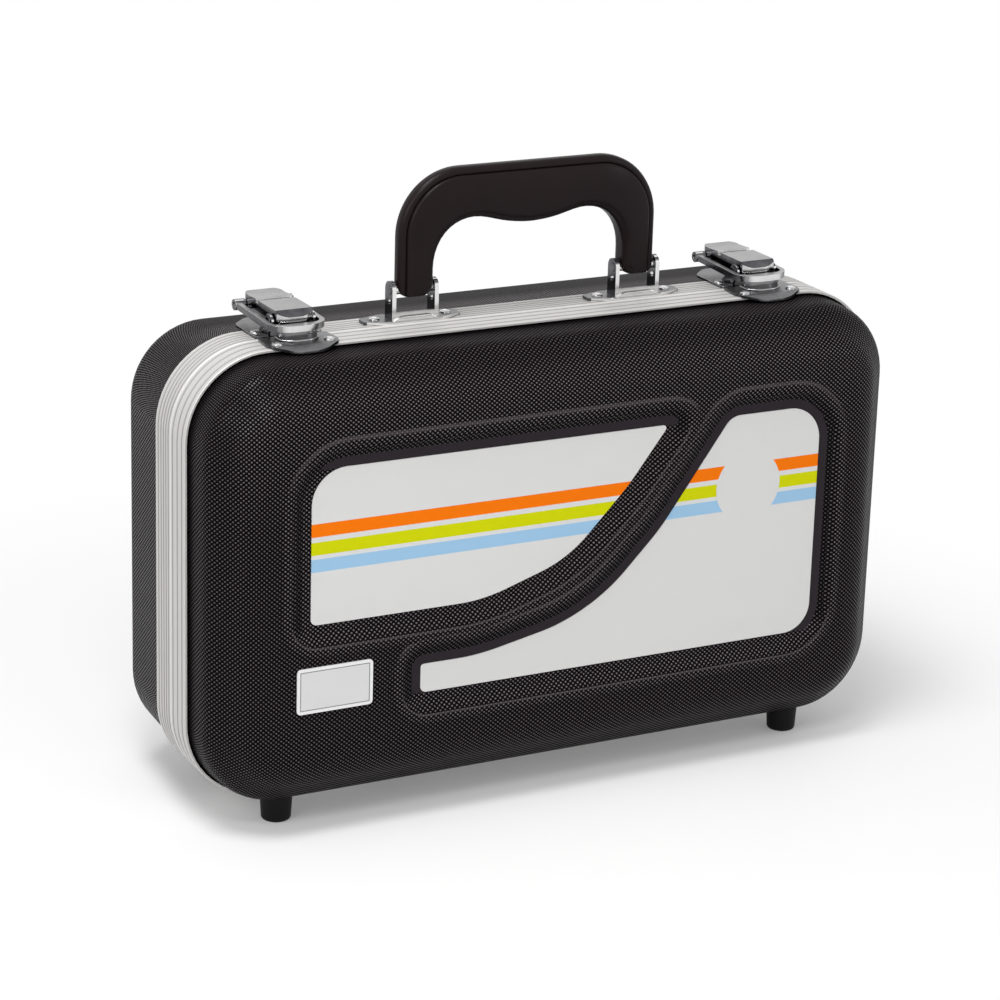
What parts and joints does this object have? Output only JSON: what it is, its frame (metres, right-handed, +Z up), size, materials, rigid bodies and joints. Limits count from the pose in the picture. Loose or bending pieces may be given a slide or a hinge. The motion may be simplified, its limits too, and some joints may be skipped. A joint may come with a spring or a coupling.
{
  "type": "clarinet case",
  "caption": "Hard-shell clarinet case with aluminium valances, a hinged lid, drawbolt latches, a folding handle, a fitted tray and feet, stored closed and upright.",
  "frame": {"origin": "on the ground under the middle of the closed case", "axes": "+X along the case to the viewer's right, +Y from the lid's face to the back, +Z up"},
  "size_m": [0.36, 0.1306, 0.2933],
  "materials": {
    "abs_black": "black moulded ABS with an embossed grain",
    "valance_aluminium": "satin anodised extrusion",
    "tray_plush": "dark plush over foam",
    "foot_rubber": "black moulded rubber",
    "hinge_steel": "nickel-plated steel",
    "latch_chrome": "satin nickel and bright chrome",
    "bracket_chrome": "bright nickel",
    "panel_sheet": "printed white sheet with plain stripes",
    "nameplate_metal": "bare satin plate",
    "handle_black": "smooth satin black"
  },
  "bodies": {
    "case": {"rear_shell": "abs_black", "rear_valance": "valance_aluminium", "tray": "tray_plush", "rear_feet": "foot_rubber", "hinge_body_leaves": "hinge_steel", "hinge_pins": "hinge_steel", "hinge_body_rivets": "hinge_steel", "latch_base_left": "latch_chrome", "latch_base_right": "latch_chrome", "latch_base_rivets": "latch_chrome", "fulcrum_pin_left": "latch_chrome", "fulcrum_pin_right": "latch_chrome", "handle_bracket_left": "bracket_chrome", "handle_bracket_right": "bracket_chrome", "handle_bracket_rivets": "bracket_chrome", "handle_pins": "bracket_chrome"},
    "lid": {"front_shell": "abs_black", "front_valance": "valance_aluminium", "lid_pad": "tray_plush", "panel_left": "panel_sheet", "panel_right": "panel_sheet", "nameplate": "nameplate_metal", "front_feet": "foot_rubber", "hinge_lid_leaves": "hinge_steel", "hinge_lid_rivets": "hinge_steel", "keeper_left": "latch_chrome", "keeper_right": "latch_chrome", "keeper_rivets": "latch_chrome"},
    "latch_lever_left": {"lever_left": "latch_chrome", "loop_pin_left": "latch_chrome"},
    "latch_lever_right": {"lever_right": "latch_chrome", "loop_pin_right": "latch_chrome"},
    "latch_loop_left": {"loop_left": "latch_chrome"},
    "latch_loop_right": {"loop_right": "latch_chrome"},
    "carrying_handle": {"handle": "handle_black"}
  },
  "joints": [
    {"name": "lid_hinge", "type": "hinge", "parent": "case", "child": "lid", "pos_m": [0, -0.0132, 0.0072], "axis": [1, 0, 0], "range_deg": [0, 105]},
    {"name": "handle_hinge", "type": "hinge", "parent": "case", "child": "carrying_handle", "pos_m": [0, -0.0082, 0.238], "axis": [1, 0, 0], "range_deg": [-90, 90]},
    {"name": "lever_hinge_left", "type": "hinge", "parent": "case", "child": "latch_lever_left", "pos_m": [-0.1216, -0.0135, 0.231], "axis": [1, 0, 0], "range_deg": [0, 85]},
    {"name": "loop_hinge_left", "type": "hinge", "parent": "latch_lever_left", "child": "latch_loop_left", "pos_m": [-0.1216, 0.0175, 0.2313], "axis": [1, 0, 0], "range_deg": [-86, 0]},
    {"name": "lever_hinge_right", "type": "hinge", "parent": "case", "child": "latch_lever_right", "pos_m": [0.1216, -0.0135, 0.231], "axis": [1, 0, 0], "range_deg": [0, 85]},
    {"name": "loop_hinge_right", "type": "hinge", "parent": "latch_lever_right", "child": "latch_loop_right", "pos_m": [0.1216, 0.0175, 0.2313], "axis": [1, 0, 0], "range_deg": [-86, 0]}
  ],
  "couplings": [
    {"joint": "loop_hinge_left", "follows": "lever_hinge_left", "ratio": -1},
    {"joint": "loop_hinge_right", "follows": "lever_hinge_right", "ratio": -1}
  ]
}
